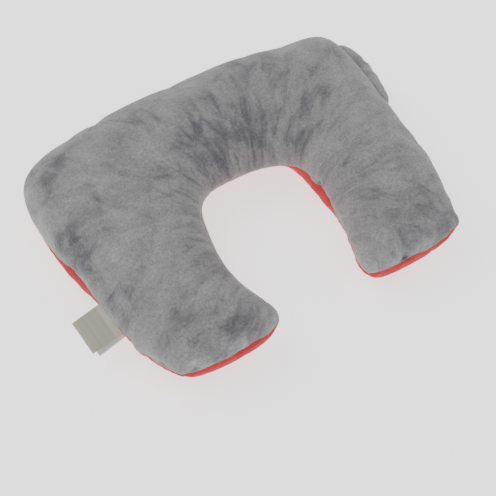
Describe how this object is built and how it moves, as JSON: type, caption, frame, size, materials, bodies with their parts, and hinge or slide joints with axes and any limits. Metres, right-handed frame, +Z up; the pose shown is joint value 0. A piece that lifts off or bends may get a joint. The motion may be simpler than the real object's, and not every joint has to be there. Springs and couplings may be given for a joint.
{
  "type": "u shaped neck pillow",
  "caption": "U-shaped inflatable travel neck pillow: zipped plush and knit cover over a welded air bladder, with a plug valve under a side flap.",
  "frame": {"origin": "on the surface the pillow lies on, under the middle of the bridge behind the neck", "axes": "+X to the wearer's right, +Y to the back, +Z up; the arms point to -Y"},
  "size_m": [0.4668, 0.3357, 0.0989],
  "materials": {
    "grey_plush": "brushed velour",
    "red_knit": "smooth stretch knit",
    "tab_ribbon": "woven satin",
    "care_satin": "printed satin, left blank",
    "zip_tape": "woven tape",
    "zip_teeth": "moulded",
    "zip_metal": "gunmetal",
    "bladder_film": "soft vinyl",
    "valve_vinyl": "moulded soft vinyl"
  },
  "bodies": {
    "pillow": {"cover_top_panel": "grey_plush", "cover_bottom_panel": "red_knit", "brand_tab": "tab_ribbon", "care_label": "care_satin", "bladder_top_sheet": "bladder_film", "bladder_bottom_sheet": "bladder_film", "valve_stem": "valve_vinyl", "valve_tether": "valve_vinyl", "zip_tape_upper": "zip_tape", "zip_tape_lower": "zip_tape", "zip_teeth_upper": "zip_teeth", "zip_teeth_lower": "zip_teeth", "zip_top_stop_upper": "zip_metal", "zip_top_stop_lower": "zip_metal", "zip_bottom_stop": "zip_metal"},
    "slider": {"zip_slider": "zip_metal"},
    "pull": {"zip_pull": "zip_metal"},
    "flap": {"valve_flap": "grey_plush"},
    "plug": {"valve_plug": "valve_vinyl"},
    "check_flap": {"valve_check_flap": "valve_vinyl"}
  },
  "joints": [
    {"name": "zip_slide", "type": "slide", "parent": "pillow", "child": "slider", "axis": [-1, 0, 0], "range_m": [0, 0.136], "deforming": ["zip_teeth_upper", "zip_teeth_lower"]},
    {"name": "pull_swing", "type": "hinge", "parent": "slider", "child": "pull", "pos_m": [0.07, 0.06795, 0.04], "axis": [0, 0, -1], "range_deg": [0, 165]},
    {"name": "flap_lift", "type": "hinge", "parent": "pillow", "child": "flap", "pos_m": [0.2125, -0.03, 0.058], "axis": [0, -1, 0], "range_deg": [0, 70]},
    {"name": "plug_pull", "type": "slide", "parent": "pillow", "child": "plug", "axis": [1, 0, 0], "range_m": [0, 0.0084], "deforming": ["valve_tether"]},
    {"name": "check_flap_swing", "type": "hinge", "parent": "pillow", "child": "check_flap", "pos_m": [0.1837, -0.019, 0.042], "axis": [0, 1, 0], "range_deg": [0, 40]}
  ]
}
